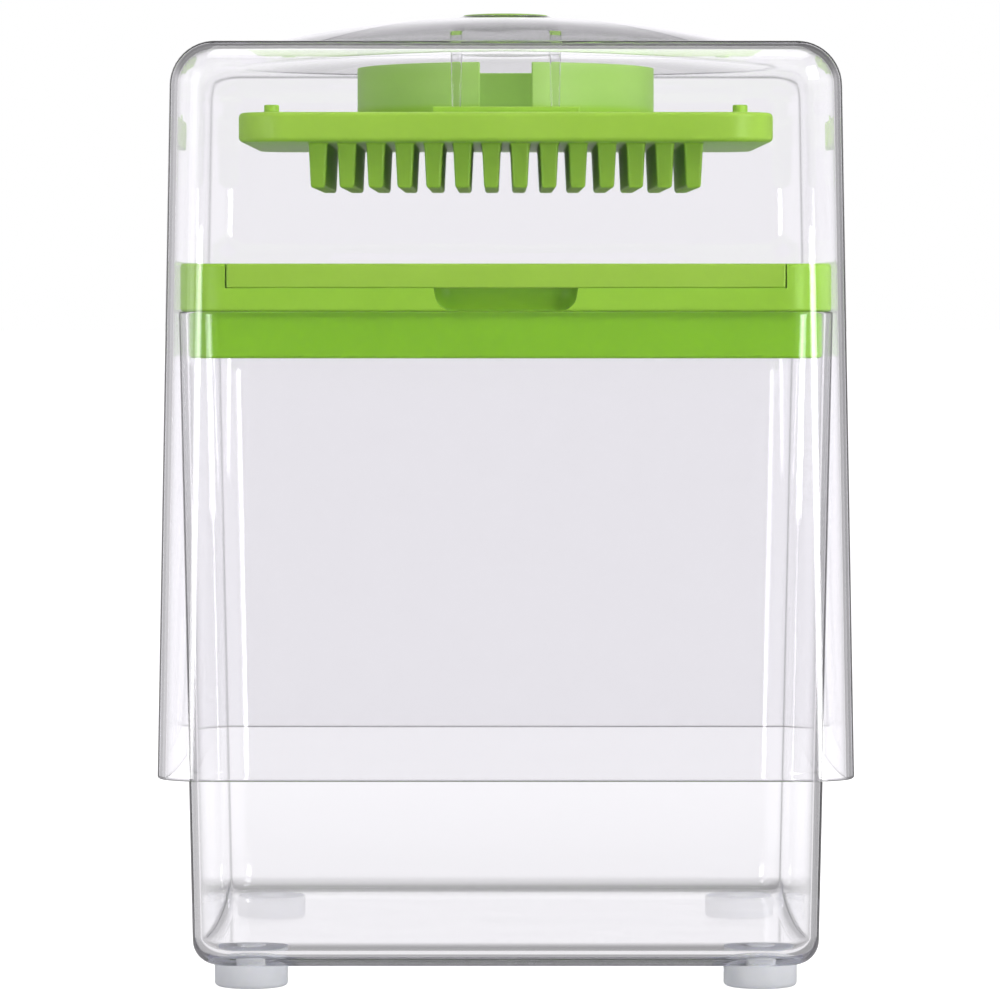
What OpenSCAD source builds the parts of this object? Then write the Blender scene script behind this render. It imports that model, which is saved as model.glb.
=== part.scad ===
// Push-down tower slicer for vegetables. A clear square container stands on four soft feet. A green
// collar frame drops into its mouth and carries a lift-out grid of steel strips. A clear hood slides
// down over the collar and drives a pin plate through the grid, so that the food falls as sticks.
// Origin: centre of the underside of the feet. +Z is up and the front, with the finger notch, is -Y.

/* [Container] */
// Half width of the container at its rim
cup_rim_half = 67.2; // [66:0.1:68]
// Half width of the container just above the feet
cup_base_half = 64.5; // [62:0.1:65]
// Height of the container's underside, where the feet start
cup_base_z = 4.8; // [4:0.1:6]
// Height of the container's rim
cup_rim_z = 139.3; // [137:0.1:141]
// Thickness of the container's walls
cup_wall = 1.8; // [1.6:0.1:2]
// Thickness of the container's floor
cup_floor = 2.6; // [2.4:0.1:4]
// Radius of the container's upright edges
cup_corner = 9; // [8:0.5:10]
// Radius of the rounding between floor and walls
cup_round = 5; // [3:0.5:6]

/* [Feet] */
// Radius of a foot
foot_r = 7.6; // [6:0.1:8]
// Distance of a foot from each centre plane
foot_at = 52.6; // [50:0.1:54]
// Radius of the stem that plugs a foot into the floor
foot_stem_r = 3; // [2:0.1:3.5]
// Length of that stem
foot_stem_h = 1.6; // [1:0.1:1.8]

/* [Collar frame] */
// Half width of the collar's upper tier
tier_half = 67; // [66.5:0.1:67]
// Height of the collar's top face
tier_top_z = 149.1; // [147:0.1:150]
// Radius of the upper tier's corners
tier_corner = 10; // [8:0.5:12]
// Half width of the skirt that plugs into the container
skirt_half = 64.9; // [64.5:0.1:64.9]
// Depth of that skirt below the rim
skirt_depth = 9.5; // [8:0.1:11]
// Thickness of the collar's walls
collar_wall = 2.2; // [1.8:0.1:2.6]
// Half width of the finger notch at its top
notch_half = 15.4; // [12:0.1:18]
// Depth of the finger notch into the collar
notch_depth = 6; // [5:0.1:7]

/* [Blade insert] */
// Half width of the insert's flange
flange_half = 56.9; // [56:0.1:58]
// Thickness of the insert's flange
flange_h = 5; // [4.5:0.1:5.5]
// Half width of the insert's lower body
insert_body_half = 50; // [47:0.1:51]
// Width of one cell of the grid
cell = 12; // [12:0.5:12.5]
// Thickness of a steel strip
strip_t = 0.4; // [0.3:0.1:0.5]
// Height of a steel strip
strip_h = 8; // [7:0.1:8]
// How far each strip end runs into the insert's frame
strip_grip = 2.5; // [1.5:0.1:3]

/* [Pusher] */
// Width of the pin plate
plate_w = 110.4; // [108:0.2:114]
// Height of the pin plate's underside as stored, with food under the pins
plate_z = 174.1; // [174.1:0.1:174.7]
// Thickness of the pin plate
plate_h = 6.1; // [5:0.1:6.3]
// Length of the pins
pin_h = 9.3; // [8:0.1:9.5]
// Width of a pin at its root
pin_root = 3.9; // [3.5:0.1:4.2]
// Width of a pin at its tip
pin_tip = 3; // [2.6:0.1:3.2]
// Outer radius of the ring on top of the plate
ring_r = 31.8; // [28:0.1:33]
// Height of the ring
ring_h = 12.8; // [8:0.1:12.8]
// Width of the gap at the front of the ring
ring_gap = 10.8; // [8:0.1:12]

/* [Hood] */
// Half width of the hood at its rim
hood_rim_half = 71.4; // [71:0.1:72]
// Height of the hood's rim as stored
hood_rim_z = 43.8; // [41:0.1:61]
// Height of the hood's flat roof
roof_z = 194.6; // [194.2:0.1:195.2]
// Thickness of the hood's walls
hood_wall = 1.6; // [1.4:0.1:1.6]
// Radius of the hood's upright edges
hood_corner = 9.6; // [9.4:0.1:11]
// Radius of the rounding between roof and walls
roof_round = 9.2; // [8:0.1:9.4]
// Height of the dome above the flat roof
dome_h = 7.3; // [6:0.1:8]
// Radius of the dome where it meets the roof
dome_r = 57.6; // [54:0.1:58]
// Distance of each prong from the centre plane
prong_x = 10.2; // [9:0.1:12]
// Distance of the prongs in front of and behind the centre
prong_y = 46; // [44:0.5:47]

/* [Badge] */
// Radius of the round badge on the dome
badge_r = 9.1; // [8:0.1:10]
// How far the badge stands proud of the dome
badge_proud = 0.7; // [0.4:0.1:1]
// Width of the sloping lip that the hood has round the badge
lip_w = 1.8; // [1.4:0.1:2.2]

/* [Hidden] */
CELLS = 7;
STRIPS = CELLS - 1;
$fn = 64;

// A thin slice used as the end of a hull
SLICE = 0.01;
// Steps of each rounding, in degrees
ROUND_STEP = 15;
// Gap left all round a piece that lifts out
LIFT_GAP = 0.2;
// How far a cutting shape runs past the face that it opens
OVERCUT = 1;
// How far a raised detail is sunk into the face that it stands on
SUNK = 1;
// Least corner radius of a slice
LEAST_CORNER = 0.6;

// Draft of the two tapering shells: sideways per unit of height
cup_draft = (cup_rim_half - cup_base_half) / (cup_rim_z - cup_base_z);
HOOD_DRAFT = 0.0188;

// Gap round a foot's stem, and above it
STEM_GAP = 0.05;
STEM_END_GAP = 0.1;
// Rounding of a foot's lower edge
FOOT_EDGE = 1;

skirt_bottom_z = cup_rim_z - skirt_depth;
// How much tighter the skirt's corners are than the container's inside
SKIRT_CORNER_GAP = 0.3;
// Corner radii of the insert and the throat that it hangs in, and of the channel under the collar
INSERT_CORNER = 4;
CHANNEL_CORNER = 5;
// Thickness of the collar between the insert's seat and the channel under it
SHELF_H = 3;
// Height of the finger notch's sill above the container's rim
NOTCH_SILL = 0.2;
// Rounding of the finger notch's lower corners, and how much wider it gets towards the top
NOTCH_ROUND = 3.6;
NOTCH_FLARE = 0.9;

flange_z = tier_top_z - flange_h;
opening_half = cell * CELLS / 2;
// How far the strips' edges lie below the collar's top, and how far the insert reaches below them
STRIP_SUNK = 0.9;
STRIP_COVER = 0.4;
strip_top_z = tier_top_z - STRIP_SUNK;
strip_z = strip_top_z - strip_h;
strip_mid_z = strip_z + strip_h / 2;
strip_half = opening_half + strip_grip;
// Height of the ground edge of a strip, and its width at the very top
EDGE_H = 1.2;
EDGE_T = 0.1;
// Gap each side of a strip where it passes through another one's slot
LAP_GAP = 0.05;

PIN_ROWS = 2 * CELLS;
pin_pitch = cell / 2;
plate_top_z = plate_z + plate_h;
PLATE_CORNER = 9.5;
PLATE_EDGE = 1;
RING_WALL = 2.6;
// Two raised pads that the prongs pass through, and four round studs near the corners
PAD_W = 30.4;
PAD_D = 9;
PAD_H = 1.2;
STUD_R = 1.55;
STUD_H = 1.6;
STUD_INSET = 6.9;
stud_at = plate_w / 2 - STUD_INSET;

// Prongs: width at the roof, width at the tip, depth, and how far the tip sinks into the plate
PRONG_TOP = 2.6;
PRONG_TIP = 1.8;
PRONG_D = 5;
PRONG_SINK = 3;
PRONG_GAP = 0.3;

dome_apex_z = roof_z + dome_h;
dome_sphere_r = (dome_r * dome_r + dome_h * dome_h) / (2 * dome_h);
// How far the dome's cap reaches down into the roof
DOME_SUNK = 4;
BADGE_RECESS = 0.8;
// Lip round the badge: height above the dome's top, width of its flat top, and depth in the dome
LIP_H = 0.2;
LIP_FLAT = 0.3;
LIP_SUNK = 0.8;

// Square with round corners, as a flat outline
module rounded_square(half, r) {
    inner = half - r;
    square([2 * half, 2 * inner], center = true);
    square([2 * inner, 2 * half], center = true);
    for (x = [-inner, inner], y = [-inner, inner])
        translate([x, y]) circle(r);
}

// Upright prism with round corners
module rounded_block(half, r, z, h) {
    translate([0, 0, z]) linear_extrude(h) rounded_square(half, r);
}

// One slice of a hull, no sharper than a small radius at its corners
module slice(half, r, z) {
    rounded_block(half, max(r, LEAST_CORNER), z, SLICE, $fn = 32);
}

// Tapering box, rounded where it meets its floor
module cup_shape(half_low, half_high, z_low, z_high, corner, round_r) {
    hull() {
        slice(half_high, corner, z_high - SLICE);
        for (a = [0 : ROUND_STEP : 90]) {
            inset = round_r * (1 - sin(a));
            slice(half_low - inset, corner - inset, z_low + round_r * (1 - cos(a)));
        }
    }
}

// Tapering box, rounded where it meets its roof
module hood_shape(half_low, z_low, z_high, corner, round_r) {
    half_high = half_low - HOOD_DRAFT * (z_high - round_r - z_low);
    hull() {
        slice(half_low, corner, z_low);
        for (a = [0 : ROUND_STEP : 90]) {
            inset = round_r * (1 - cos(a));
            slice(half_high - inset, corner - inset, z_high - SLICE - round_r * (1 - sin(a)));
        }
    }
}

// Part of the dome's sphere that lies above the roof, shrunk inwards by the shell thickness
module dome_cap(shell) {
    intersection() {
        translate([0, 0, dome_apex_z - dome_sphere_r]) sphere(dome_sphere_r - shell, $fn = 128);
        translate([0, 0, roof_z - DOME_SUNK])
            cylinder(r = dome_r - shell, h = dome_h + DOME_SUNK + OVERCUT);
    }
}

// Clear container that catches the sticks
module container() {
    inner_low = cup_base_half + cup_draft * cup_floor - cup_wall;
    color("#e8e8ee", 0.4) difference() {
        cup_shape(cup_base_half, cup_rim_half, cup_base_z, cup_rim_z, cup_corner, cup_round);
        cup_shape(inner_low, cup_rim_half - cup_wall, cup_base_z + cup_floor, cup_rim_z + SLICE,
                  cup_corner - cup_wall, cup_round - cup_wall);
        for (x = [-foot_at, foot_at], y = [-foot_at, foot_at])
            translate([x, y, cup_base_z - OVERCUT])
                cylinder(r = foot_stem_r + STEM_GAP, h = foot_stem_h + OVERCUT + STEM_END_GAP);
    }
}

// Soft foot: a low cap with a rounded edge and a stem
module foot(x, y) {
    color("#d7dbe0", 0.8) translate([foot_at * x, foot_at * y, 0]) rotate_extrude() union() {
        square([foot_r - FOOT_EDGE, cup_base_z]);
        translate([0, FOOT_EDGE]) square([foot_r, cup_base_z - FOOT_EDGE]);
        translate([foot_r - FOOT_EDGE, FOOT_EDGE]) intersection() {
            circle(FOOT_EDGE);
            translate([0, -FOOT_EDGE]) square(FOOT_EDGE);
        }
        square([foot_stem_r, cup_base_z + foot_stem_h]);
    }
}

// Outline of the finger notch, seen from the front: wider at the top, round at the bottom
module notch_outline(h) {
    low_half = notch_half - NOTCH_FLARE;
    translate([-low_half + NOTCH_ROUND, 0]) square([2 * (low_half - NOTCH_ROUND), h]);
    translate([-low_half, NOTCH_ROUND]) square([2 * low_half, h - NOTCH_ROUND]);
    for (side = [-1, 1]) {
        translate([side * (low_half - NOTCH_ROUND), NOTCH_ROUND]) circle(NOTCH_ROUND);
        polygon([[side * low_half, NOTCH_ROUND], [side * notch_half, h], [0, h]]);
    }
}

// Green frame: the upper tier rests on the container's rim and the skirt plugs into its mouth
module collar_frame() {
    throat_half = insert_body_half + LIFT_GAP;
    seat_half = flange_half + LIFT_GAP;
    channel_top_z = flange_z - SHELF_H;
    channel_half = skirt_half - collar_wall;
    notch_z = cup_rim_z + NOTCH_SILL;
    skirt_corner = cup_corner - cup_wall - SKIRT_CORNER_GAP;
    below_z = skirt_bottom_z - OVERCUT;
    color("#8cc63f") difference() {
        union() {
            rounded_block(tier_half, tier_corner, cup_rim_z, tier_top_z - cup_rim_z);
            rounded_block(skirt_half, skirt_corner, skirt_bottom_z, skirt_depth);
        }
        // throat that the insert's lower body hangs in
        rounded_block(throat_half, INSERT_CORNER, below_z, tier_top_z + OVERCUT - below_z);
        // seat of the insert's flange, open to the front
        rounded_block(seat_half, INSERT_CORNER, flange_z, flange_h + OVERCUT);
        translate([-seat_half, -tier_half - OVERCUT, flange_z])
            cube([2 * seat_half, tier_half, flange_h + OVERCUT]);
        // hollow underside between the skirt and the throat wall
        difference() {
            rounded_block(channel_half, CHANNEL_CORNER, below_z, channel_top_z - below_z);
            rounded_block(throat_half + collar_wall, CHANNEL_CORNER, below_z, tier_top_z - below_z);
            translate([-notch_half - collar_wall, -tier_half, notch_z - collar_wall])
                cube([2 * (notch_half + collar_wall), notch_depth + collar_wall,
                      tier_top_z - notch_z]);
        }
        translate([0, -tier_half + notch_depth, notch_z]) rotate([90, 0, 0])
            linear_extrude(notch_depth + OVERCUT) notch_outline(flange_z - notch_z + SLICE);
    }
}

// Green frame of the lift-out insert, with a lip that reaches the collar's front face
module insert_frame() {
    color("#8cc63f") difference() {
        union() {
            rounded_block(flange_half, INSERT_CORNER, flange_z, flange_h);
            translate([-flange_half, -tier_half, flange_z])
                cube([2 * flange_half, tier_half, flange_h]);
            rounded_block(insert_body_half, INSERT_CORNER, strip_z - STRIP_COVER,
                          flange_z + SUNK - strip_z + STRIP_COVER);
        }
        translate([-opening_half, -opening_half, strip_z - OVERCUT])
            cube([2 * opening_half, 2 * opening_half, tier_top_z - strip_z + 2 * OVERCUT]);
        for (i = [1 : STRIPS]) {
            strip_blank(i);
            rotate(90) strip_blank(i);
        }
    }
}

// Distance of strip number i from the centre plane
function strip_at(i) = (i - CELLS / 2) * cell;

// One steel strip along X, before its slots are cut: flat sides and a ground top edge
module strip_blank(i) {
    flat_h = strip_h - EDGE_H;
    translate([-strip_half, strip_at(i), strip_z]) rotate([90, 0, 90]) linear_extrude(2 * strip_half)
        polygon([[-strip_t / 2, 0], [strip_t / 2, 0], [strip_t / 2, flat_h], [EDGE_T / 2, strip_h],
                 [-EDGE_T / 2, strip_h], [-strip_t / 2, flat_h]]);
}

// Slots at every crossing, from height z up or down by half a strip
module lap_slots(z) {
    slot_w = strip_t + 2 * LAP_GAP;
    for (i = [1 : STRIPS])
        translate([strip_at(i) - slot_w / 2, -opening_half, z])
            cube([slot_w, 2 * opening_half, strip_h / 2 + OVERCUT]);
}

// Strip along X, slotted from below
module blade_x(i) {
    color("#c8ccd0") difference() {
        strip_blank(i);
        lap_slots(strip_z - OVERCUT + LAP_GAP);
    }
}

// Strip along Y, slotted from above
module blade_y(i) {
    color("#c8ccd0") rotate(-90) difference() {
        strip_blank(i);
        lap_slots(strip_mid_z);
    }
}

// Profile of one row of pins: tapering teeth that hang from the plate
module pin_comb() {
    for (i = [0 : PIN_ROWS - 1])
        translate([(i - (PIN_ROWS - 1) / 2) * pin_pitch, 0])
            polygon([[-pin_root / 2, SUNK], [-pin_root / 2, 0], [-pin_tip / 2, -pin_h],
                     [pin_tip / 2, -pin_h], [pin_root / 2, 0], [pin_root / 2, SUNK]]);
}

// Long tapering ridges along Y, one for each tooth of the comb
module pin_ridges() {
    translate([0, opening_half, plate_z]) rotate([90, 0, 0])
        linear_extrude(2 * opening_half) pin_comb();
}

// Green plate that pushes the food: pins below, two pads and four studs above
module pusher_plate() {
    mid_h = plate_h - 2 * PLATE_EDGE;
    sunk_z = plate_top_z - SUNK;
    slot_h = PRONG_SINK + PRONG_GAP + PAD_H + OVERCUT;
    color("#8cc63f") {
        intersection() {
            pin_ridges();
            rotate(90) pin_ridges();
        }
        difference() {
            union() {
                rounded_block(plate_w / 2 - PLATE_EDGE, PLATE_CORNER - PLATE_EDGE, plate_z, plate_h);
                rounded_block(plate_w / 2, PLATE_CORNER, plate_z + PLATE_EDGE, mid_h);
                for (side = [-1, 1])
                    translate([-PAD_W / 2, side * prong_y - PAD_D / 2, sunk_z])
                        cube([PAD_W, PAD_D, PAD_H + SUNK]);
                for (x = [-stud_at, stud_at], y = [-stud_at, stud_at])
                    translate([x, y, sunk_z]) cylinder(r = STUD_R, h = STUD_H + SUNK);
            }
            for (x = [-prong_x, prong_x], y = [-prong_y, prong_y])
                translate([x - PRONG_TIP / 2 - PRONG_GAP, y - PRONG_D / 2 - PRONG_GAP,
                           plate_top_z - PRONG_SINK - PRONG_GAP])
                    cube([PRONG_TIP + 2 * PRONG_GAP, PRONG_D + 2 * PRONG_GAP, slot_h]);
        }
    }
}

// One half of the ring that stands on the plate: side is -1 for the left and 1 for the right. The
// halves meet at the rear and leave the finger gap at the front.
module pusher_ring(side) {
    bore_r = ring_r - RING_WALL;
    reach = ring_r + OVERCUT;
    cut_z = plate_top_z - OVERCUT;
    cut_h = ring_h + 2 * OVERCUT;
    color("#8cc63f") difference() {
        translate([0, 0, plate_top_z]) cylinder(r = ring_r, h = ring_h);
        translate([0, 0, cut_z]) cylinder(r = bore_r, h = cut_h);
        // the other half
        translate([side < 0 ? 0 : -reach, -reach, cut_z]) cube([reach, 2 * reach, cut_h]);
        // the gap
        translate([-ring_gap / 2, -reach, cut_z]) cube([ring_gap, reach, cut_h]);
    }
}

// Tapering prong that hangs from the dome and clips into a slot of the pusher plate
module prong(x, y) {
    tip_z = plate_top_z - PRONG_SINK;
    root_z = dome_apex_z - (x * x + y * y) / (2 * dome_sphere_r) - hood_wall / 2;
    length = root_z - tip_z;
    slot_top = plate_top_z + PAD_H - tip_z;
    translate([x, y + PRONG_D / 2, tip_z]) rotate([90, 0, 0]) linear_extrude(PRONG_D)
        polygon([[-PRONG_TIP / 2, 0], [PRONG_TIP / 2, 0], [PRONG_TIP / 2, slot_top],
                 [PRONG_TOP / 2, length], [-PRONG_TOP / 2, length], [-PRONG_TIP / 2, slot_top]]);
}

// Sloping lip round the badge, sunk a little into the dome
module badge_lip() {
    top_r = badge_r + LIP_FLAT;
    translate([0, 0, dome_apex_z - LIP_SUNK])
        cylinder(r1 = top_r + lip_w, r2 = top_r, h = LIP_SUNK + LIP_H);
}

// Clear hood: tapering walls, rounded roof, shallow dome and the four prongs
module hood() {
    color("#e8e8ee", 0.4) {
        difference() {
            union() {
                hood_shape(hood_rim_half, hood_rim_z, roof_z, hood_corner, roof_round);
                dome_cap(0);
                badge_lip();
            }
            hood_shape(hood_rim_half - hood_wall, hood_rim_z - SLICE, roof_z - hood_wall,
                       hood_corner - hood_wall, roof_round - hood_wall);
            dome_cap(hood_wall);
            translate([0, 0, dome_apex_z - BADGE_RECESS])
                cylinder(r = badge_r, h = BADGE_RECESS + OVERCUT);
        }
        for (x = [-prong_x, prong_x], y = [-prong_y, prong_y])
            prong(x, y);
    }
}

// Green badge inlaid in the dome
module hood_badge() {
    color("#8cc63f") translate([0, 0, dome_apex_z - BADGE_RECESS])
        cylinder(r = badge_r, h = BADGE_RECESS + badge_proud);
}

container();
foot(-1, -1);  // foot_front_left
foot(1, -1);  // foot_front_right
foot(-1, 1);  // foot_rear_left
foot(1, 1);  // foot_rear_right
collar_frame();
insert_frame();
for (i = [1 : STRIPS]) blade_x(i);
for (i = [1 : STRIPS]) blade_y(i);
pusher_plate();
pusher_ring(-1);  // pusher_ring_left
pusher_ring(1);  // pusher_ring_right
hood();
hood_badge();
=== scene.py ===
"""Looks of the push-down tower slicer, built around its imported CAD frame."""

import math

import bmesh
import bpy
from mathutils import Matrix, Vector


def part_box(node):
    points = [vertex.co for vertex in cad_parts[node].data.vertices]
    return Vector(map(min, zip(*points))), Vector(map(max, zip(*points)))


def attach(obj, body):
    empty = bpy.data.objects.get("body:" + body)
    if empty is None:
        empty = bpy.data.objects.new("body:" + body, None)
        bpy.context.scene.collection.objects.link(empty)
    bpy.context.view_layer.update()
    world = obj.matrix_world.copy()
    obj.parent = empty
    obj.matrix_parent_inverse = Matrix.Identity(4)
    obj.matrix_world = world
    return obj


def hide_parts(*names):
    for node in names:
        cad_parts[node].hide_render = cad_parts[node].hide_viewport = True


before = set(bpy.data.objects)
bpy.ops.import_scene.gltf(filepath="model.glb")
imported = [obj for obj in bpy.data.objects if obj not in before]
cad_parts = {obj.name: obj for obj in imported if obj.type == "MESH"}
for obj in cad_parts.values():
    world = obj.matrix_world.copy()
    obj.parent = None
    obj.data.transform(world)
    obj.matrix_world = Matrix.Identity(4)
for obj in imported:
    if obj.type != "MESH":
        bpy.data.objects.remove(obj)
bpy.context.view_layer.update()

MM = 0.001
ARC_STEPS = 12          # points round one corner of a rounded square
SIDE_STEPS = 10         # points along one of its straight sides
WALL_STEPS = 8          # rings down a clear wall
DOME_STEPS = 12         # rings across the hood's dome


# ---------------------------------------------------------------- places read from the frame

def low(node):
    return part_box(node)[0] / MM


def high(node):
    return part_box(node)[1] / MM


# ---------------------------------------------------------------- sizes that several pieces share

BADGE_FLOOR = low("hood_badge").z
BADGE_TOP = high("hood_badge").z
BADGE_R = high("hood_badge").x
BADGE_SUNK = 0.8        # depth of the badge's floor below the dome's top
DOME_TOP = BADGE_FLOOR + BADGE_SUNK
LIP_R = BADGE_R + 1.5
LIP_TOP = DOME_TOP + 0.2
PIN_H = 9.3
PLATE_H = 6.1
PLATE_TOP = low("pusher_plate").z + PIN_H + PLATE_H
PRONG_X = 10.2
PRONG_Y = 46
PRONG_SINK = 3          # how far the prongs reach into the plate
CUP_BASE_HALF = 64.5
CUP_DRAFT = (high("container").x - CUP_BASE_HALF) / (high("container").z - low("container").z)
SKIRT_HALF = 64.9


# ---------------------------------------------------------------- rings, lofts and lathes

def corner_arcs(half_x, half_y, corner, z, steps=ARC_STEPS, sides=SIDE_STEPS):
    """A rounded rectangle at height z as a ring of points, anticlockwise, in millimetres."""
    corner = min(corner, half_x, half_y)
    ring = []
    for quarter in range(4):
        mid = math.radians(90 * quarter + 45)
        centre_x = math.copysign(half_x - corner, math.cos(mid))
        centre_y = math.copysign(half_y - corner, math.sin(mid))
        arc = []
        for step in range(steps + 1):
            angle = math.radians(90 * (quarter + step / steps))
            arc.append(Vector((centre_x + corner * math.cos(angle),
                               centre_y + corner * math.sin(angle), z)))
        if ring:
            ring += side_points(ring[-1], arc[0], sides)
        ring += arc
    return ring + side_points(ring[-1], ring[0], sides)


def side_points(start, end, sides):
    return [start.lerp(end, step / sides) for step in range(1, sides)]


def square_ring(half, corner, z):
    return corner_arcs(half, half, corner, z)


def round_ring(radius, z, like):
    """A circle with its points in the same directions as those of the ring it joins."""
    ring = []
    for point in like:
        flat = Vector((point.x, point.y, 0)).normalized() * radius
        ring.append(Vector((flat.x, flat.y, z)))
    return ring


def lathe_ring(radius, z, count=64):
    turn = 2 * math.pi / count
    return [Vector((radius * math.cos(turn * k), radius * math.sin(turn * k), z)) for k in range(count)]


def shifted(ring, x, y):
    return [point + Vector((x, y, 0)) for point in ring]


def loft(bm, rings):
    """Skins a list of equal rings and closes both ends."""
    rows = [[bm.verts.new(point * MM) for point in ring] for ring in rings]
    count = len(rows[0])
    for lower, upper in zip(rows, rows[1:]):
        for k in range(count):
            after = (k + 1) % count
            bm.faces.new((lower[k], lower[after], upper[after], upper[k]))
    bm.faces.new(list(reversed(rows[0])))
    bm.faces.new(rows[-1])


def piece_from(bm, name, smooth=True):
    """Turns a bmesh into an object with outward faces and area-weighted shading."""
    bmesh.ops.recalc_face_normals(bm, faces=bm.faces[:])
    mesh = bpy.data.meshes.new(name)
    bm.to_mesh(mesh)
    bm.free()
    piece = bpy.data.objects.new(name, mesh)
    bpy.context.collection.objects.link(piece)
    if smooth:
        for face in mesh.polygons:
            face.use_smooth = True
    return piece


def weigh_normals(piece):
    weights = piece.modifiers.new("weighted", "WEIGHTED_NORMAL")
    weights.mode = "FACE_AREA"
    weights.weight = 100
    weights.keep_sharp = True


def arc(start, end, steps):
    """Angles in radians from start to end, both given in degrees."""
    return [math.radians(start + (end - start) * k / steps) for k in range(steps + 1)]


# ---------------------------------------------------------------- clear shells

HOOD_WALL = 1.6
HOOD_CORNER = 9.6
HOOD_ROUND = 9.2
HOOD_DRAFT = 0.0188
HOOD_DOME_H = 7.3
HOOD_DOME_R = 57.6
RIM_ROUND = 0.55
LEAST_CORNER = 0.6
DOME_BLEND = 0.8        # half width of the soft turn from dome to roof
SPHERE_R = (HOOD_DOME_R ** 2 + HOOD_DOME_H ** 2) / (2 * HOOD_DOME_H)


def hood_rings(shell):
    """Rings of one side of the hood, from its roof's middle to its rim. shell is the inset."""
    rim_half = high("hood").x
    rim_z = low("hood").z
    roof_z = DOME_TOP - HOOD_DOME_H - shell
    centre_z = DOME_TOP - SPHERE_R
    rounding = HOOD_ROUND - shell
    spring_z = roof_z - rounding
    spring_half = rim_half - shell - HOOD_DRAFT * (spring_z - rim_z)
    corner = HOOD_CORNER - shell

    def dome_z(radius):
        return centre_z + math.sqrt((SPHERE_R - shell) ** 2 - radius ** 2)

    square = square_ring(spring_half - rounding, max(corner - rounding, LEAST_CORNER), roof_z)
    rings = []
    edge = math.sqrt((SPHERE_R - shell) ** 2 - (roof_z - centre_z) ** 2)
    if shell == 0:
        lip = BADGE_R + 0.15
        for radius, z in ((lip - 0.3, BADGE_FLOOR), (lip, BADGE_FLOOR + 0.3), (lip, LIP_TOP - 0.1),
                          (lip + 0.15, LIP_TOP), (lip + 0.4, LIP_TOP - 0.1),
                          (LIP_R, dome_z(LIP_R) + 0.03), (LIP_R + 0.8, dome_z(LIP_R + 0.8))):
            rings.append(round_ring(radius, z, square))
        first = LIP_R + 3
    else:
        first = 1.5
    for k in range(DOME_STEPS + 1):
        radius = first + (edge - DOME_BLEND - first) * k / DOME_STEPS
        rings.append(round_ring(radius, dome_z(radius), square))
    rings.append(round_ring(edge, roof_z + 0.06, square))
    rings.append(round_ring(edge + DOME_BLEND, roof_z, square))
    rings.append(square)
    for angle in arc(90, 0, 12)[1:]:
        inset = rounding * (1 - math.cos(angle))
        rings.append(square_ring(spring_half - inset, max(corner - inset, LEAST_CORNER),
                                 spring_z + rounding * math.sin(angle)))
    for k in range(1, WALL_STEPS + 1):
        z = spring_z + (rim_z + RIM_ROUND - spring_z) * k / WALL_STEPS
        rings.append(square_ring(rim_half - shell - HOOD_DRAFT * (z - rim_z), corner, z))
    for angle in arc(0, 90, 4)[1:]:
        inset = RIM_ROUND * (1 - math.cos(angle))
        side = 1 if shell == 0 else -1
        rings.append(square_ring(rim_half - shell - side * inset, corner - side * inset,
                                 rim_z + RIM_ROUND * (1 - math.sin(angle))))
    return rings


SHARP_ANGLE = 50
PRONG_EDGE = 0.45
PRONG_TIP_RINGS = ((0.0, 0.62, 2.2), (0.35, 0.86, 2.45), (4.2, 0.9, 2.5))
PRONG_ROOT_RINGS = ((0.97, 1.22, 2.5), (1.0, 1.3, 2.5))


def make_prong(x, y, tip_z, root_z):
    """A tapering clip prong with rounded edges. A ring is a place and two half widths: the place is
    in millimetres above the tip, or near the root a share of the prong's length."""
    levels = [(tip_z + rise, half_x, half_y) for rise, half_x, half_y in PRONG_TIP_RINGS]
    length = root_z - tip_z
    levels += [(tip_z + share * length, half_x, half_y) for share, half_x, half_y in PRONG_ROOT_RINGS]
    bm = bmesh.new()
    loft(bm, [shifted(corner_arcs(half_x, half_y, PRONG_EDGE, z, 4, 1), x, y)
              for z, half_x, half_y in levels])
    return piece_from(bm, "prong")


def make_hood():
    bm = bmesh.new()
    loft(bm, hood_rings(0) + list(reversed(hood_rings(HOOD_WALL))))
    hood = piece_from(bm, "hood_shell")
    for x in (-PRONG_X, PRONG_X):
        for y in (-PRONG_Y, PRONG_Y):
            under = DOME_TOP - HOOD_WALL - (x * x + y * y) / (2 * SPHERE_R)
            combine(hood, make_prong(x, y, PLATE_TOP - PRONG_SINK, under + HOOD_WALL / 2), "UNION")
    hood.data.set_sharp_from_angle(angle=math.radians(SHARP_ANGLE))
    weigh_normals(hood)
    return hood


CUP_WALL = 1.8
CUP_FLOOR = 2.6
CUP_CORNER = 9
CUP_ROUND = 5


def cup_rings(shell):
    """Rings of one side of the container, from the middle of its floor to its rim."""
    rim_z = high("container").z
    base_z = low("container").z + (CUP_FLOOR if shell else 0)
    rim_half = high("container").x - shell
    base_half = CUP_BASE_HALF - shell + (CUP_DRAFT * CUP_FLOOR if shell else 0)
    rounding = CUP_ROUND - shell
    corner = CUP_CORNER - shell
    rings = [square_ring(2, 0.8, base_z), square_ring(base_half - rounding, corner - rounding, base_z)]
    for angle in arc(90, 0, 10)[1:]:
        inset = rounding * (1 - math.cos(angle))
        rings.append(square_ring(base_half + CUP_DRAFT * rounding - inset, corner - inset,
                                 base_z + rounding * (1 - math.sin(angle))))
    spring_z = base_z + rounding
    for k in range(1, WALL_STEPS + 1):
        z = spring_z + (rim_z - RIM_ROUND - spring_z) * k / WALL_STEPS
        rings.append(square_ring(rim_half - CUP_DRAFT * (rim_z - z), corner, z))
    for angle in arc(0, 90, 4)[1:]:
        inset = RIM_ROUND * (1 - math.cos(angle))
        side = -1 if shell else 1
        rings.append(square_ring(rim_half - side * inset, corner - side * inset,
                                 rim_z - RIM_ROUND * (1 - math.sin(angle))))
    return rings


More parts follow.
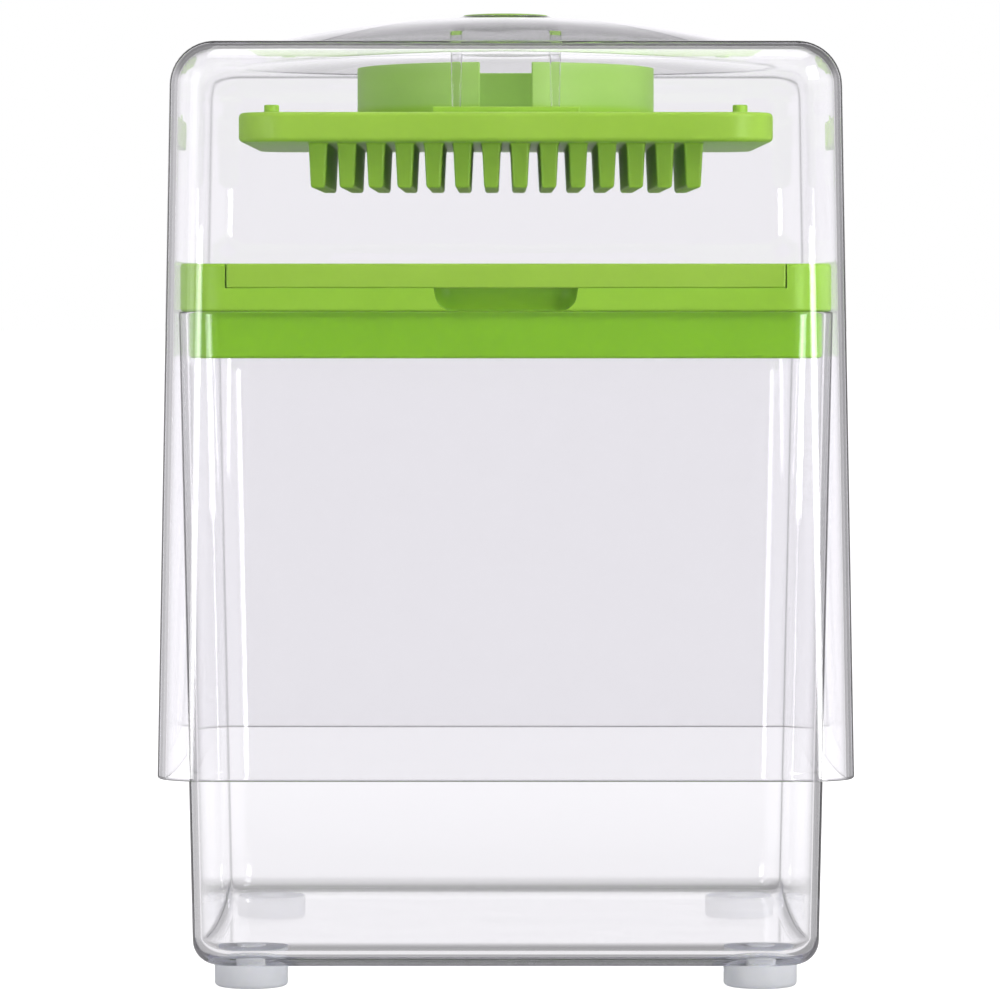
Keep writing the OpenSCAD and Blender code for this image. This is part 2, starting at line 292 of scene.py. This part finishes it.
def make_container():
    bm = bmesh.new()
    loft(bm, cup_rings(0) + list(reversed(cup_rings(CUP_WALL))))
    container = piece_from(bm, "container_shell")
    weigh_normals(container)
    return container


# ---------------------------------------------------------------- turned pieces

def lathe(name, profile, x=0, y=0):
    bm = bmesh.new()
    loft(bm, [shifted(lathe_ring(radius, z), x, y) for radius, z in profile])
    piece = piece_from(bm, name)
    weigh_normals(piece)
    return piece


def make_badge():
    top, base, radius = BADGE_TOP, BADGE_FLOOR, BADGE_R
    spring, edge = top - 0.6, 0.35
    profile = [(0.5, base), (radius - 0.2, base), (radius, base + 0.2), (radius, spring)]
    profile += [(radius - edge * (1 - math.cos(a)), spring + edge * math.sin(a)) for a in arc(0, 90, 4)[1:]]
    profile += [(radius - 2.5, top - 0.1), (radius * 0.4, top - 0.02), (0.5, top)]
    return lathe("badge_disc", profile)


FOOT_EDGE = 0.9
FOOT_STEM_R = 3.0


def make_foot(node, name):
    """A soft foot with a shallow hollow underneath and a stem that plugs into the floor."""
    lowest, highest = low(node), high(node)
    x, y = (lowest.x + highest.x) / 2, (lowest.y + highest.y) / 2
    radius = (highest.x - lowest.x) / 2
    seat = low("container").z
    edge = FOOT_EDGE
    profile = [(0.6, 0.25), (2.2, 0.25), (2.5, 0.05), (2.8, 0.0)]
    profile += [(radius - edge * (1 - math.sin(a)), edge * (1 - math.cos(a))) for a in arc(0, 90, 6)]
    profile += [(radius, seat / 2), (radius, seat - 0.2), (radius - 0.2, seat), (FOOT_STEM_R, seat),
                (FOOT_STEM_R, highest.z - 0.2), (FOOT_STEM_R - 0.2, highest.z), (0.6, highest.z)]
    return lathe(name, profile, x, y)


# ---------------------------------------------------------------- moulded green pieces

def block(name, outline, z0, z1, bevel=0.0, segments=3):
    """A closed prism over an outline, its sharp edges rounded."""
    bm = bmesh.new()
    floor = [bm.verts.new(Vector((p[0], p[1], z0)) * MM) for p in outline]
    roof = [bm.verts.new(Vector((p[0], p[1], z1)) * MM) for p in outline]
    count = len(outline)
    for k in range(count):
        after = (k + 1) % count
        bm.faces.new((floor[k], floor[after], roof[after], roof[k]))
    bm.faces.new(list(reversed(floor)))
    bm.faces.new(roof)
    bmesh.ops.recalc_face_normals(bm, faces=bm.faces[:])
    if bevel:
        sharp = [e for e in bm.edges if e.calc_face_angle(0) > math.radians(50)]
        bmesh.ops.bevel(bm, geom=sharp, offset=bevel * MM, segments=segments, profile=0.5, affect="EDGES",
                        clamp_overlap=True)
    return piece_from(bm, name)


def outline_of(half_x, half_y, corner, steps=8):
    return [(p.x, p.y) for p in corner_arcs(half_x, half_y, corner, 0, steps, 1)]


def combine(piece, other, operation):
    """Boolean of two pieces, applied; the other one is removed."""
    change = piece.modifiers.new("combine", "BOOLEAN")
    change.object = other
    change.operation = operation
    change.solver = "EXACT"
    apply_modifiers(piece)
    drop(other)


def apply_modifiers(piece):
    graph = bpy.context.evaluated_depsgraph_get()
    mesh = bpy.data.meshes.new_from_object(piece.evaluated_get(graph))
    piece.modifiers.clear()
    old = piece.data
    piece.data = mesh
    bpy.data.meshes.remove(old)
    for face in mesh.polygons:
        face.use_smooth = True


def drop(piece):
    mesh = piece.data
    bpy.data.objects.remove(piece)
    bpy.data.meshes.remove(mesh)


def soften(piece, width, segments=2, angle=40):
    """Rounds what is still sharp and evens out the shading."""
    bevel = piece.modifiers.new("soften", "BEVEL")
    bevel.width = width * MM
    bevel.segments = segments
    bevel.limit_method = "ANGLE"
    bevel.angle_limit = math.radians(angle)
    bevel.harden_normals = False
    bevel.use_clamp_overlap = True
    weigh_normals(piece)


def rectangle(x0, y0, x1, y1):
    return [(x0, y0), (x1, y0), (x1, y1), (x0, y1)]


def turned_block(name, outline, y0, y1, bevel=0.0):
    """A prism over an outline in the XZ plane, from y0 to y1."""
    piece = block(name, outline, -y1, -y0, bevel)
    for vert in piece.data.vertices:
        x, y, z = vert.co
        vert.co = (x, -z, y)
    return piece


SEAT_GAP = 0.2
FLANGE_H = 5
BODY_HALF = 50
BODY_CORNER = 4
TIER_CORNER = 10
SKIRT_CORNER = 6.9
COLLAR_WALL = 2.2
CHANNEL_CORNER = 5
SHELF_H = 3             # left of the collar between the insert's seat and the channel below
NOTCH_HALF = 15.4
NOTCH_DEEP = 6
NOTCH_SILL = 0.2
NOTCH_ROUND = 3.6
NOTCH_FLARE = 0.9
NOTCH_FILLET = 3.4
OVERCUT = 1             # how far a cutting shape runs past the face that it opens
OVERLAP = 1             # how far a joined shape reaches into the moulding it stands on
EDGE = 0.25             # rounding of edges that the booleans leave sharp


def notch_outline(half, floor_z, top_z):
    """The finger notch seen from the front: leaning sides and round lower corners."""
    centre_x = half - NOTCH_FLARE - NOTCH_ROUND
    centre_z = floor_z + NOTCH_ROUND
    points = [(half, top_z)]
    for angle in arc(0, -90, 8):
        points.append((centre_x + NOTCH_ROUND * math.cos(angle), centre_z + NOTCH_ROUND * math.sin(angle)))
    return points + [(-x, z) for x, z in reversed(points)]


def make_collar():
    top, bottom = high("collar_frame").z, low("collar_frame").z
    tier_half = high("collar_frame").x
    rim = high("container").z
    flange_z = top - FLANGE_H
    throat = BODY_HALF + SEAT_GAP
    seat = high("insert_frame").x + SEAT_GAP
    skirt = SKIRT_HALF
    collar = block("collar_moulding", outline_of(tier_half, tier_half, TIER_CORNER, 12), rim, top, 0.7)
    skirt_wall = block("c", outline_of(skirt, skirt, SKIRT_CORNER, 10), bottom, rim + OVERLAP, 0.6)
    combine(collar, skirt_wall, "UNION")
    combine(collar, block("c", outline_of(throat, throat, BODY_CORNER), bottom - OVERCUT, top + OVERCUT),
            "DIFFERENCE")
    combine(collar, block("c", outline_of(seat, seat, BODY_CORNER), flange_z, top + OVERCUT), "DIFFERENCE")
    front = rectangle(-seat, -tier_half - OVERCUT, seat, 0)
    combine(collar, block("c", front, flange_z, top + OVERCUT), "DIFFERENCE")
    outer, inner = skirt - COLLAR_WALL, throat + COLLAR_WALL
    channel = block("c", outline_of(outer, outer, CHANNEL_CORNER), bottom - OVERCUT, flange_z - SHELF_H)
    core = block("k", outline_of(inner, inner, CHANNEL_CORNER), bottom - 2 * OVERCUT, top)
    combine(channel, core, "DIFFERENCE")
    housing = rectangle(-NOTCH_HALF - 2, -tier_half, NOTCH_HALF + 2, -tier_half + NOTCH_DEEP + COLLAR_WALL)
    combine(channel, block("k", housing, rim - 2, top), "DIFFERENCE")
    combine(collar, channel, "DIFFERENCE")
    notch = turned_block("c", notch_outline(NOTCH_HALF, rim + NOTCH_SILL, flange_z + NOTCH_FILLET),
                         -tier_half - OVERCUT - NOTCH_FILLET, -tier_half + NOTCH_DEEP, NOTCH_FILLET)
    combine(collar, notch, "DIFFERENCE")
    soften(collar, EDGE)
    return collar


GRID_HALF = 42
INSERT_EDGE = 0.45


def make_insert():
    top, bottom = high("insert_frame").z, low("insert_frame").z
    half = high("insert_frame").x
    front_y = low("insert_frame").y
    flange_z = top - FLANGE_H
    insert = block("insert_moulding", outline_of(half, half, BODY_CORNER), flange_z, top, INSERT_EDGE)
    lip = rectangle(-half, front_y, half, -BODY_HALF + BODY_CORNER)
    combine(insert, block("c", lip, flange_z, top, INSERT_EDGE), "UNION")
    body = outline_of(BODY_HALF, BODY_HALF, BODY_CORNER)
    combine(insert, block("c", body, bottom, flange_z + OVERLAP, 0.4), "UNION")
    hole = rectangle(-GRID_HALF, -GRID_HALF, GRID_HALF, GRID_HALF)
    combine(insert, block("c", hole, bottom - OVERCUT, top + OVERCUT), "DIFFERENCE")
    soften(insert, EDGE)
    return insert


PIN_ROWS = 14
PIN_PITCH = 6
PLATE_CORNER = 9.5
PAD_HALF_X = 15.2
PAD_HALF_Y = 4.5
PAD_H = 1.2
SLOT_HALF_X = 1.2
SLOT_HALF_Y = 2.8
SLOT_DEEP = 3.3
STUD_INSET = 6.9
STUD_R = 1.55
STUD_H = 1.6
RING_WALL = 2.6
RING_GAP = 10.8
RING_R = high("pusher_ring_right").x
RING_TOP = high("pusher_ring_right").z


def ring_outline():
    """Outline of the ring, open at the front."""
    half_gap = RING_GAP / 2
    inner = RING_R - RING_WALL
    start, end = (math.degrees(math.asin(half_gap / r)) for r in (RING_R, inner))
    outer_arc = [(RING_R * math.cos(a), RING_R * math.sin(a)) for a in arc(-90 + start, 270 - start, 80)]
    inner_arc = [(inner * math.cos(a), inner * math.sin(a)) for a in arc(270 - end, -90 + end, 80)]
    return outer_arc + inner_arc


def make_pins(plate_z):
    """The square pins under the plate, in rings of half width, corner and height from the root down."""
    bm = bmesh.new()
    tip = low("pusher_plate").z
    levels = ((2.35, 0.7, plate_z + 0.6), (2.2, 0.7, plate_z), (1.98, 0.6, plate_z - 0.35),
              (1.92, 0.55, plate_z - 1), (1.55, 0.5, tip + 0.75), (1.46, 0.5, tip + 0.35),
              (1.28, 0.45, tip + 0.09), (0.95, 0.35, tip))
    for row in range(PIN_ROWS):
        for column in range(PIN_ROWS):
            x = (column - (PIN_ROWS - 1) / 2) * PIN_PITCH
            y = (row - (PIN_ROWS - 1) / 2) * PIN_PITCH
            loft(bm, [shifted(corner_arcs(half, half, corner, z, 3, 1), x, y) for half, corner, z in levels])
    return piece_from(bm, "pins")


def make_pusher():
    half = high("pusher_plate").x
    plate_z = low("pusher_plate").z + PIN_H
    top = PLATE_TOP
    pusher = block("pusher_moulding", outline_of(half, half, PLATE_CORNER, 12), plate_z, top, 1.0, 4)
    combine(pusher, block("c", ring_outline(), top - OVERLAP, RING_TOP, 0.4), "UNION")
    for side in (-1, 1):
        y = side * PRONG_Y
        pad = rectangle(-PAD_HALF_X, y - PAD_HALF_Y, PAD_HALF_X, y + PAD_HALF_Y)
        combine(pusher, block("c", pad, top - OVERLAP, top + PAD_H, 0.3), "UNION")
        for x in (-PRONG_X, PRONG_X):
            slot = rectangle(x - SLOT_HALF_X, y - SLOT_HALF_Y, x + SLOT_HALF_X, y + SLOT_HALF_Y)
            combine(pusher, block("c", slot, top - SLOT_DEEP, top + 3), "DIFFERENCE")
    stud_at = half - STUD_INSET
    for x in (-stud_at, stud_at):
        for y in (-stud_at, stud_at):
            circle = [(x + p.x, y + p.y) for p in lathe_ring(STUD_R, 0, 24)]
            combine(pusher, block("c", circle, top - OVERLAP, top + STUD_H, 0.3), "UNION")
    combine(pusher, make_pins(plate_z), "UNION")
    soften(pusher, 0.2)
    return pusher


# ---------------------------------------------------------------- materials

def new_material(name):
    material = bpy.data.materials.new(name)
    material.use_nodes = True
    tree = material.node_tree
    shader = tree.nodes["Principled BSDF"]
    return material, tree, shader


def noise(tree, scale, detail=2.0, stretch=(1, 1, 1), seed=0.0):
    coordinates = tree.nodes.new("ShaderNodeTexCoord")
    mapping = tree.nodes.new("ShaderNodeMapping")
    mapping.inputs["Scale"].default_value = stretch
    mapping.inputs["Location"].default_value = (seed, seed * 0.7, seed * 0.3)
    texture = tree.nodes.new("ShaderNodeTexNoise")
    texture.inputs["Scale"].default_value = scale
    texture.inputs["Detail"].default_value = detail
    tree.links.new(coordinates.outputs["Object"], mapping.inputs["Vector"])
    tree.links.new(mapping.outputs["Vector"], texture.inputs["Vector"])
    return texture.outputs["Fac"]


def ranged(tree, value, low_value, high_value, start=0.3, end=0.7):
    node = tree.nodes.new("ShaderNodeMapRange")
    node.inputs["From Min"].default_value = start
    node.inputs["From Max"].default_value = end
    for socket, given in (("To Min", low_value), ("To Max", high_value)):
        if isinstance(given, (int, float)):
            node.inputs[socket].default_value = given
        else:
            tree.links.new(given, node.inputs[socket])
    tree.links.new(value, node.inputs["Value"])
    return node.outputs["Result"]


def ramp(tree, value, stops):
    node = tree.nodes.new("ShaderNodeValToRGB")
    elements = node.color_ramp.elements
    while len(elements) < len(stops):
        elements.new(0.5)
    for element, (position, colour) in zip(elements, stops):
        element.position = position
        element.color = (*colour, 1)
    tree.links.new(value, node.inputs["Fac"])
    return node.outputs["Color"]


def bump(tree, shader, value, strength, distance):
    node = tree.nodes.new("ShaderNodeBump")
    node.inputs["Strength"].default_value = strength
    node.inputs["Distance"].default_value = distance
    tree.links.new(value, node.inputs["Height"])
    tree.links.new(node.outputs["Normal"], shader.inputs["Normal"])


SHADE_FADE = 0.6


def green_plastic(name, shade, below=None, turn=0.0, roughness=0.4):
    """Moulded green. below is the shade under height turn. The change there is painted light and shade on a
    single moulding: a deeper painted shade on the collar's skirt, a paler painted light on the pusher's
    ring.
    """
    material, tree, shader = new_material(name)
    cloud = noise(tree, 42, 3)
    colour = ramp(tree, cloud, ((0.32, shade[1]), (0.68, shade[0])))
    if below:
        place = tree.nodes.new("ShaderNodeSeparateXYZ")
        tree.links.new(tree.nodes.new("ShaderNodeTexCoord").outputs["Object"], place.inputs["Vector"])
        over = ranged(tree, place.outputs["Z"], 0, 1, (turn - SHADE_FADE) * MM, (turn + SHADE_FADE) * MM)
        blend = tree.nodes.new("ShaderNodeMixRGB")
        tree.links.new(over, blend.inputs["Fac"])
        tree.links.new(ramp(tree, cloud, ((0.32, below[1]), (0.68, below[0]))), blend.inputs["Color1"])
        tree.links.new(colour, blend.inputs["Color2"])
        colour = blend.outputs["Color"]
    tree.links.new(colour, shader.inputs["Base Color"])
    tree.links.new(ranged(tree, noise(tree, 900, 2, seed=3.1), roughness - 0.05, roughness + 0.06),
                   shader.inputs["Roughness"])
    shader.inputs["IOR"].default_value = 1.49
    shader.inputs["Specular IOR Level"].default_value = 0.35
    bump(tree, shader, noise(tree, 1500, 2, seed=7.7), 0.12, 0.00006)
    return material


def clear_plastic(name, tint, depth, roughness=0.008):
    """Clear moulding: lamps shine through it, and its thickness tints it."""
    material, tree, shader = new_material(name)
    shader.inputs["Base Color"].default_value = (0.99, 0.988, 0.994, 1)
    shader.inputs["Transmission Weight"].default_value = 1
    shader.inputs["IOR"].default_value = 1.5
    tree.links.new(ranged(tree, noise(tree, 26, 3, seed=1.9), roughness, roughness + 0.02),
                   shader.inputs["Roughness"])
    bump(tree, shader, noise(tree, 34, 1, seed=5.3), 0.05, 0.0006)
    output = tree.nodes["Material Output"]
    through = tree.nodes.new("ShaderNodeBsdfTransparent")
    through.inputs["Color"].default_value = (0.955, 0.955, 0.965, 1)
    path = tree.nodes.new("ShaderNodeLightPath")
    either = tree.nodes.new("ShaderNodeMixShader")
    tree.links.new(path.outputs["Is Shadow Ray"], either.inputs["Fac"])
    tree.links.new(shader.outputs["BSDF"], either.inputs[1])
    tree.links.new(through.outputs["BSDF"], either.inputs[2])
    tree.links.new(either.outputs["Shader"], output.inputs["Surface"])
    inside = tree.nodes.new("ShaderNodeVolumeAbsorption")
    inside.inputs["Color"].default_value = (*tint, 1)
    inside.inputs["Density"].default_value = depth
    tree.links.new(inside.outputs["Volume"], output.inputs["Volume"])
    return material


def soft_silicone(name):
    material, tree, shader = new_material(name)
    colour = ramp(tree, noise(tree, 160, 3), ((0.3, (0.80, 0.82, 0.86)), (0.7, (0.89, 0.90, 0.93))))
    tree.links.new(colour, shader.inputs["Base Color"])
    tree.links.new(ranged(tree, noise(tree, 700, 2, seed=2.2), 0.38, 0.5), shader.inputs["Roughness"])
    shader.inputs["Transmission Weight"].default_value = 0.35
    shader.inputs["IOR"].default_value = 1.41
    shader.inputs["Subsurface Weight"].default_value = 0.3
    shader.inputs["Subsurface Radius"].default_value = (0.004, 0.004, 0.005)
    bump(tree, shader, noise(tree, 1300, 2, seed=4.4), 0.1, 0.00005)
    return material


def strip_steel(name, along):
    """Rolled steel: fine lines along the strip."""
    material, tree, shader = new_material(name)
    stretch = (1, 60, 60) if along == "x" else (60, 1, 60)
    lines = noise(tree, 60, 4, stretch)
    colour = ramp(tree, lines, ((0.3, (0.50, 0.51, 0.53)), (0.7, (0.70, 0.71, 0.73))))
    tree.links.new(colour, shader.inputs["Base Color"])
    tree.links.new(ranged(tree, lines, 0.22, 0.36), shader.inputs["Roughness"])
    shader.inputs["Metallic"].default_value = 1
    bump(tree, shader, lines, 0.15, 0.00003)
    return material


def paint(piece, material):
    piece.data.materials.clear()
    piece.data.materials.append(material)


# ---------------------------------------------------------------- put the object together

# each shade is a pair: where the moulding is a little paler, and a little deeper
PLATE_GREEN = (0.335, 0.575, 0.055), (0.31, 0.55, 0.045)
# painted light: the ring's paler, less saturated green stands for the light and sheen that the ring catches
# high in the hood
RING_PAINTED_LIGHT_GREEN = (0.38, 0.60, 0.15), (0.35, 0.575, 0.13)
TIER_GREEN = (0.31, 0.59, 0.04), (0.29, 0.565, 0.034)
# painted shade: the skirt's deeper, more saturated green stands for the shade of the container's clear wall
# in front of it
SKIRT_PAINTED_SHADE_GREEN = (0.265, 0.60, 0.010), (0.245, 0.57, 0.008)
BADGE_GREEN = (0.33, 0.56, 0.10), (0.30, 0.52, 0.08)


def add(piece, body, nodes, material):
    paint(piece, material)
    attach(piece, body)
    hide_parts(*nodes.split())


hood_clear = clear_plastic("hood_clear", (0.80, 0.785, 0.83), 60)
cup_clear = clear_plastic("container_clear", (0.80, 0.79, 0.825), 16)
add(make_hood(), "hood", "hood", hood_clear)
add(make_badge(), "hood", "hood_badge", green_plastic("badge_green", BADGE_GREEN))
add(make_container(), "base", "container", cup_clear)
silicone = soft_silicone("foot_silicone")
for corner in ("front_left", "front_right", "rear_left", "rear_right"):
    add(make_foot("foot_" + corner, corner + "_foot_cap"), "base", "foot_" + corner, silicone)
# below the container's rim the collar is painted in the skirt's deeper green, a painted shade for the clear
# wall in front of it
add(make_collar(), "collar", "collar_frame",
    green_plastic("collar_green", TIER_GREEN, SKIRT_PAINTED_SHADE_GREEN, high("container").z))
add(make_insert(), "insert", "insert_frame", green_plastic("insert_green", PLATE_GREEN))
# above the plate the pusher is painted in the ring's paler green, a painted light on the same moulding
add(make_pusher(), "pusher", "pusher_plate pusher_ring_left pusher_ring_right",
    green_plastic("pusher_green", RING_PAINTED_LIGHT_GREEN, PLATE_GREEN, PLATE_TOP + 2))

STRIP_ROUND = 0.03
AXIS_AT = len("blade_")  # a strip's axis follows this in its name
steel = {"x": strip_steel("steel_along_x", "x"), "y": strip_steel("steel_along_y", "y")}
for name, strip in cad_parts.items():
    if name.startswith("blade_"):
        for slot in strip.material_slots:
            slot.material = steel[name[AXIS_AT]]
        soften(strip, STRIP_ROUND)


# ---------------------------------------------------------------- floor, world, lights, camera

FLOOR_HALF = 12.0
FLOOR_FRONT = 1.3
# places in the studio are components of a direction, from -1 to 1
BELT_LIGHT = 1.05
BELT_EDGE = 0.16
BELT_END = 0.36
BACKDROP_LIGHT = 1.08
BACKDROP_AT = -0.055
BACKDROP_HALF = 0.035
BACKDROP_FADE = 0.02
CEILING_LIGHT = 0.5
DOWN_LIGHT = 0.88
GAP_LIGHT_LEFT = 0.54
GAP_LIGHT_RIGHT = 0.4
GAP_AT = 0.76
GAP_HALF = 0.186
GAP_FADE = 0.04
FRONT_LIGHT = 0.12
FRONT_FULL = -0.85
FRONT_EDGE = -0.5
FLOOR_GLOW = 0.2
FLOOR_GLOW_SEEN = 1.0
LIGHT_AIM_HEIGHT = 0.12


def make_floor():
    bm = bmesh.new()
    corners = [(-FLOOR_HALF, -FLOOR_FRONT), (FLOOR_HALF, -FLOOR_FRONT),
               (FLOOR_HALF, FLOOR_HALF), (-FLOOR_HALF, FLOOR_HALF)]
    bm.faces.new([bm.verts.new((x, y, 0)) for x, y in corners])
    floor = piece_from(bm, "floor", smooth=False)
    material, tree, shader = new_material("floor_white")
    shader.inputs["Base Color"].default_value = (0.4, 0.4, 0.4, 1)
    shader.inputs["Roughness"].default_value = 0.9
    shader.inputs["Specular IOR Level"].default_value = 0.1
    shader.inputs["Emission Color"].default_value = (1, 1, 1, 1)
    path = tree.nodes.new("ShaderNodeLightPath")
    tree.links.new(ranged(tree, path.outputs["Is Camera Ray"], FLOOR_GLOW, FLOOR_GLOW_SEEN, 0, 1),
                   shader.inputs["Emission Strength"])
    # the clear pieces bend the studio's belt, not the floor's horizon
    bent = math_node(tree, "MAXIMUM", path.outputs["Is Glossy Ray"], path.outputs["Is Transmission Ray"])
    nothing = tree.nodes.new("ShaderNodeBsdfTransparent")
    either = tree.nodes.new("ShaderNodeMixShader")
    tree.links.new(bent, either.inputs["Fac"])
    tree.links.new(shader.outputs["BSDF"], either.inputs[1])
    tree.links.new(nothing.outputs["BSDF"], either.inputs[2])
    tree.links.new(either.outputs["Shader"], tree.nodes["Material Output"].inputs["Surface"])
    floor.data.materials.append(material)


def math_node(tree, operation, first, second=None):
    node = tree.nodes.new("ShaderNodeMath")
    node.operation = operation
    for socket, value in zip(node.inputs, (first, second)):
        if value is None:
            continue
        if isinstance(value, (int, float)):
            socket.default_value = value
        else:
            tree.links.new(value, socket)
    return node.outputs["Value"]


def make_world():
    """White studio: a bright belt at eye level with a brighter backdrop line just below it, dim strips
    to both sides of the back wall that draw the grey bands of the clear corners, a dimmer ceiling and
    ground, and behind the camera a dark end that only mirrored and diffuse light sees."""
    world = bpy.data.worlds.new("studio")
    bpy.context.scene.world = world
    world.use_nodes = True
    tree = world.node_tree
    direction = tree.nodes.new("ShaderNodeTexCoord").outputs["Generated"]
    split = tree.nodes.new("ShaderNodeSeparateXYZ")
    tree.links.new(direction, split.inputs["Vector"])
    belt = ranged(tree, split.outputs["Z"], BELT_LIGHT, CEILING_LIGHT, BELT_EDGE, BELT_END)
    down = ranged(tree, split.outputs["Z"], DOWN_LIGHT, 1.0, -BELT_END, -BELT_EDGE)
    belt = math_node(tree, "MULTIPLY", belt, down)
    off_gap = math_node(tree, "ABSOLUTE", math_node(tree, "SUBTRACT", split.outputs["Y"], GAP_AT))
    dim = ranged(tree, split.outputs["X"], GAP_LIGHT_LEFT, GAP_LIGHT_RIGHT, -0.1, 0.1)
    gaps = ranged(tree, off_gap, dim, 1.0, GAP_HALF, GAP_HALF + GAP_FADE)
    off_backdrop = math_node(tree, "ABSOLUTE", math_node(tree, "SUBTRACT", split.outputs["Z"], BACKDROP_AT))
    backdrop = ranged(tree, off_backdrop, BACKDROP_LIGHT, 1.0, BACKDROP_HALF, BACKDROP_HALF + BACKDROP_FADE)
    belt = math_node(tree, "MULTIPLY", belt, backdrop)
    path = tree.nodes.new("ShaderNodeLightPath")
    front = ranged(tree, split.outputs["Y"], FRONT_LIGHT, 1.0, FRONT_FULL, FRONT_EDGE)
    # light that comes straight through the clear pieces is white from every side
    mirrored = math_node(tree, "MAXIMUM", path.outputs["Glossy Depth"], path.outputs["Diffuse Depth"])
    front = ranged(tree, mirrored, 1.0, front, 0, 1)
    studio = math_node(tree, "MULTIPLY", math_node(tree, "MULTIPLY", belt, gaps), front)
    sky = tree.nodes["Background"]
    sky.inputs["Color"].default_value = (0.985, 0.975, 1, 1)
    tree.links.new(studio, sky.inputs["Strength"])
    plain = tree.nodes.new("ShaderNodeBackground")
    plain.inputs["Color"].default_value = (1, 1, 1, 1)
    plain.inputs["Strength"].default_value = 1.0
    either = tree.nodes.new("ShaderNodeMixShader")
    tree.links.new(path.outputs["Is Camera Ray"], either.inputs["Fac"])
    tree.links.new(sky.outputs["Background"], either.inputs[1])
    tree.links.new(plain.outputs["Background"], either.inputs[2])
    tree.links.new(either.outputs["Shader"], tree.nodes["World Output"].inputs["Surface"])


def add_light(name, place, size, power):
    """A white rectangular lamp that faces the object's middle."""
    data = bpy.data.lights.new(name, "AREA")
    data.shape = "RECTANGLE"
    data.size, data.size_y = size
    data.energy = power
    light = bpy.data.objects.new(name, data)
    bpy.context.collection.objects.link(light)
    light.location = place
    aim = Vector((0, 0, LIGHT_AIM_HEIGHT)) - Vector(place)
    light.rotation_mode = "QUATERNION"
    light.rotation_quaternion = aim.to_track_quat("-Z", "Y")


LENS_PX = 5675
SENSOR_MM = 36
CLIP_NEAR = 0.05
CLIP_FAR = 60
CAMERA_X = -0.0012
CAMERA_AWAY = 1.150
CAMERA_HEIGHT = 0.1482
CAMERA_PITCH = 2.341


def make_camera():
    data = bpy.data.cameras.new("camera")
    data.sensor_width = SENSOR_MM
    data.lens = LENS_PX / 1000 * data.sensor_width
    data.clip_start = CLIP_NEAR
    data.clip_end = CLIP_FAR
    camera = bpy.data.objects.new("camera", data)
    bpy.context.collection.objects.link(camera)
    camera.location = (CAMERA_X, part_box("hood")[0].y - CAMERA_AWAY, CAMERA_HEIGHT)
    camera.rotation_euler = (math.radians(90 - CAMERA_PITCH), 0, 0)
    bpy.context.scene.camera = camera


make_floor()
make_world()
add_light("key", (1.1, -1.0, 1.0), (0.7, 0.9), 12.5)
add_light("fill", (-1.2, -0.9, 0.6), (0.5, 0.9), 2.2)
add_light("low_right", (0.8, -1.2, 0.1), (0.3, 0.25), 3.0)
add_light("low_left", (-0.8, -1.2, 0.1), (0.3, 0.25), 1.8)
add_light("top", (0.1, 0.2, 1.5), (0.9, 0.9), 5)
make_camera()

scene = bpy.context.scene
scene.view_settings.view_transform = "Standard"
scene.view_settings.look = "None"
scene.cycles.max_bounces = 72
scene.cycles.transmission_bounces = 48
scene.cycles.glossy_bounces = 48
scene.cycles.diffuse_bounces = 4
scene.cycles.transparent_max_bounces = 32
scene.cycles.blur_glossy = 0.5
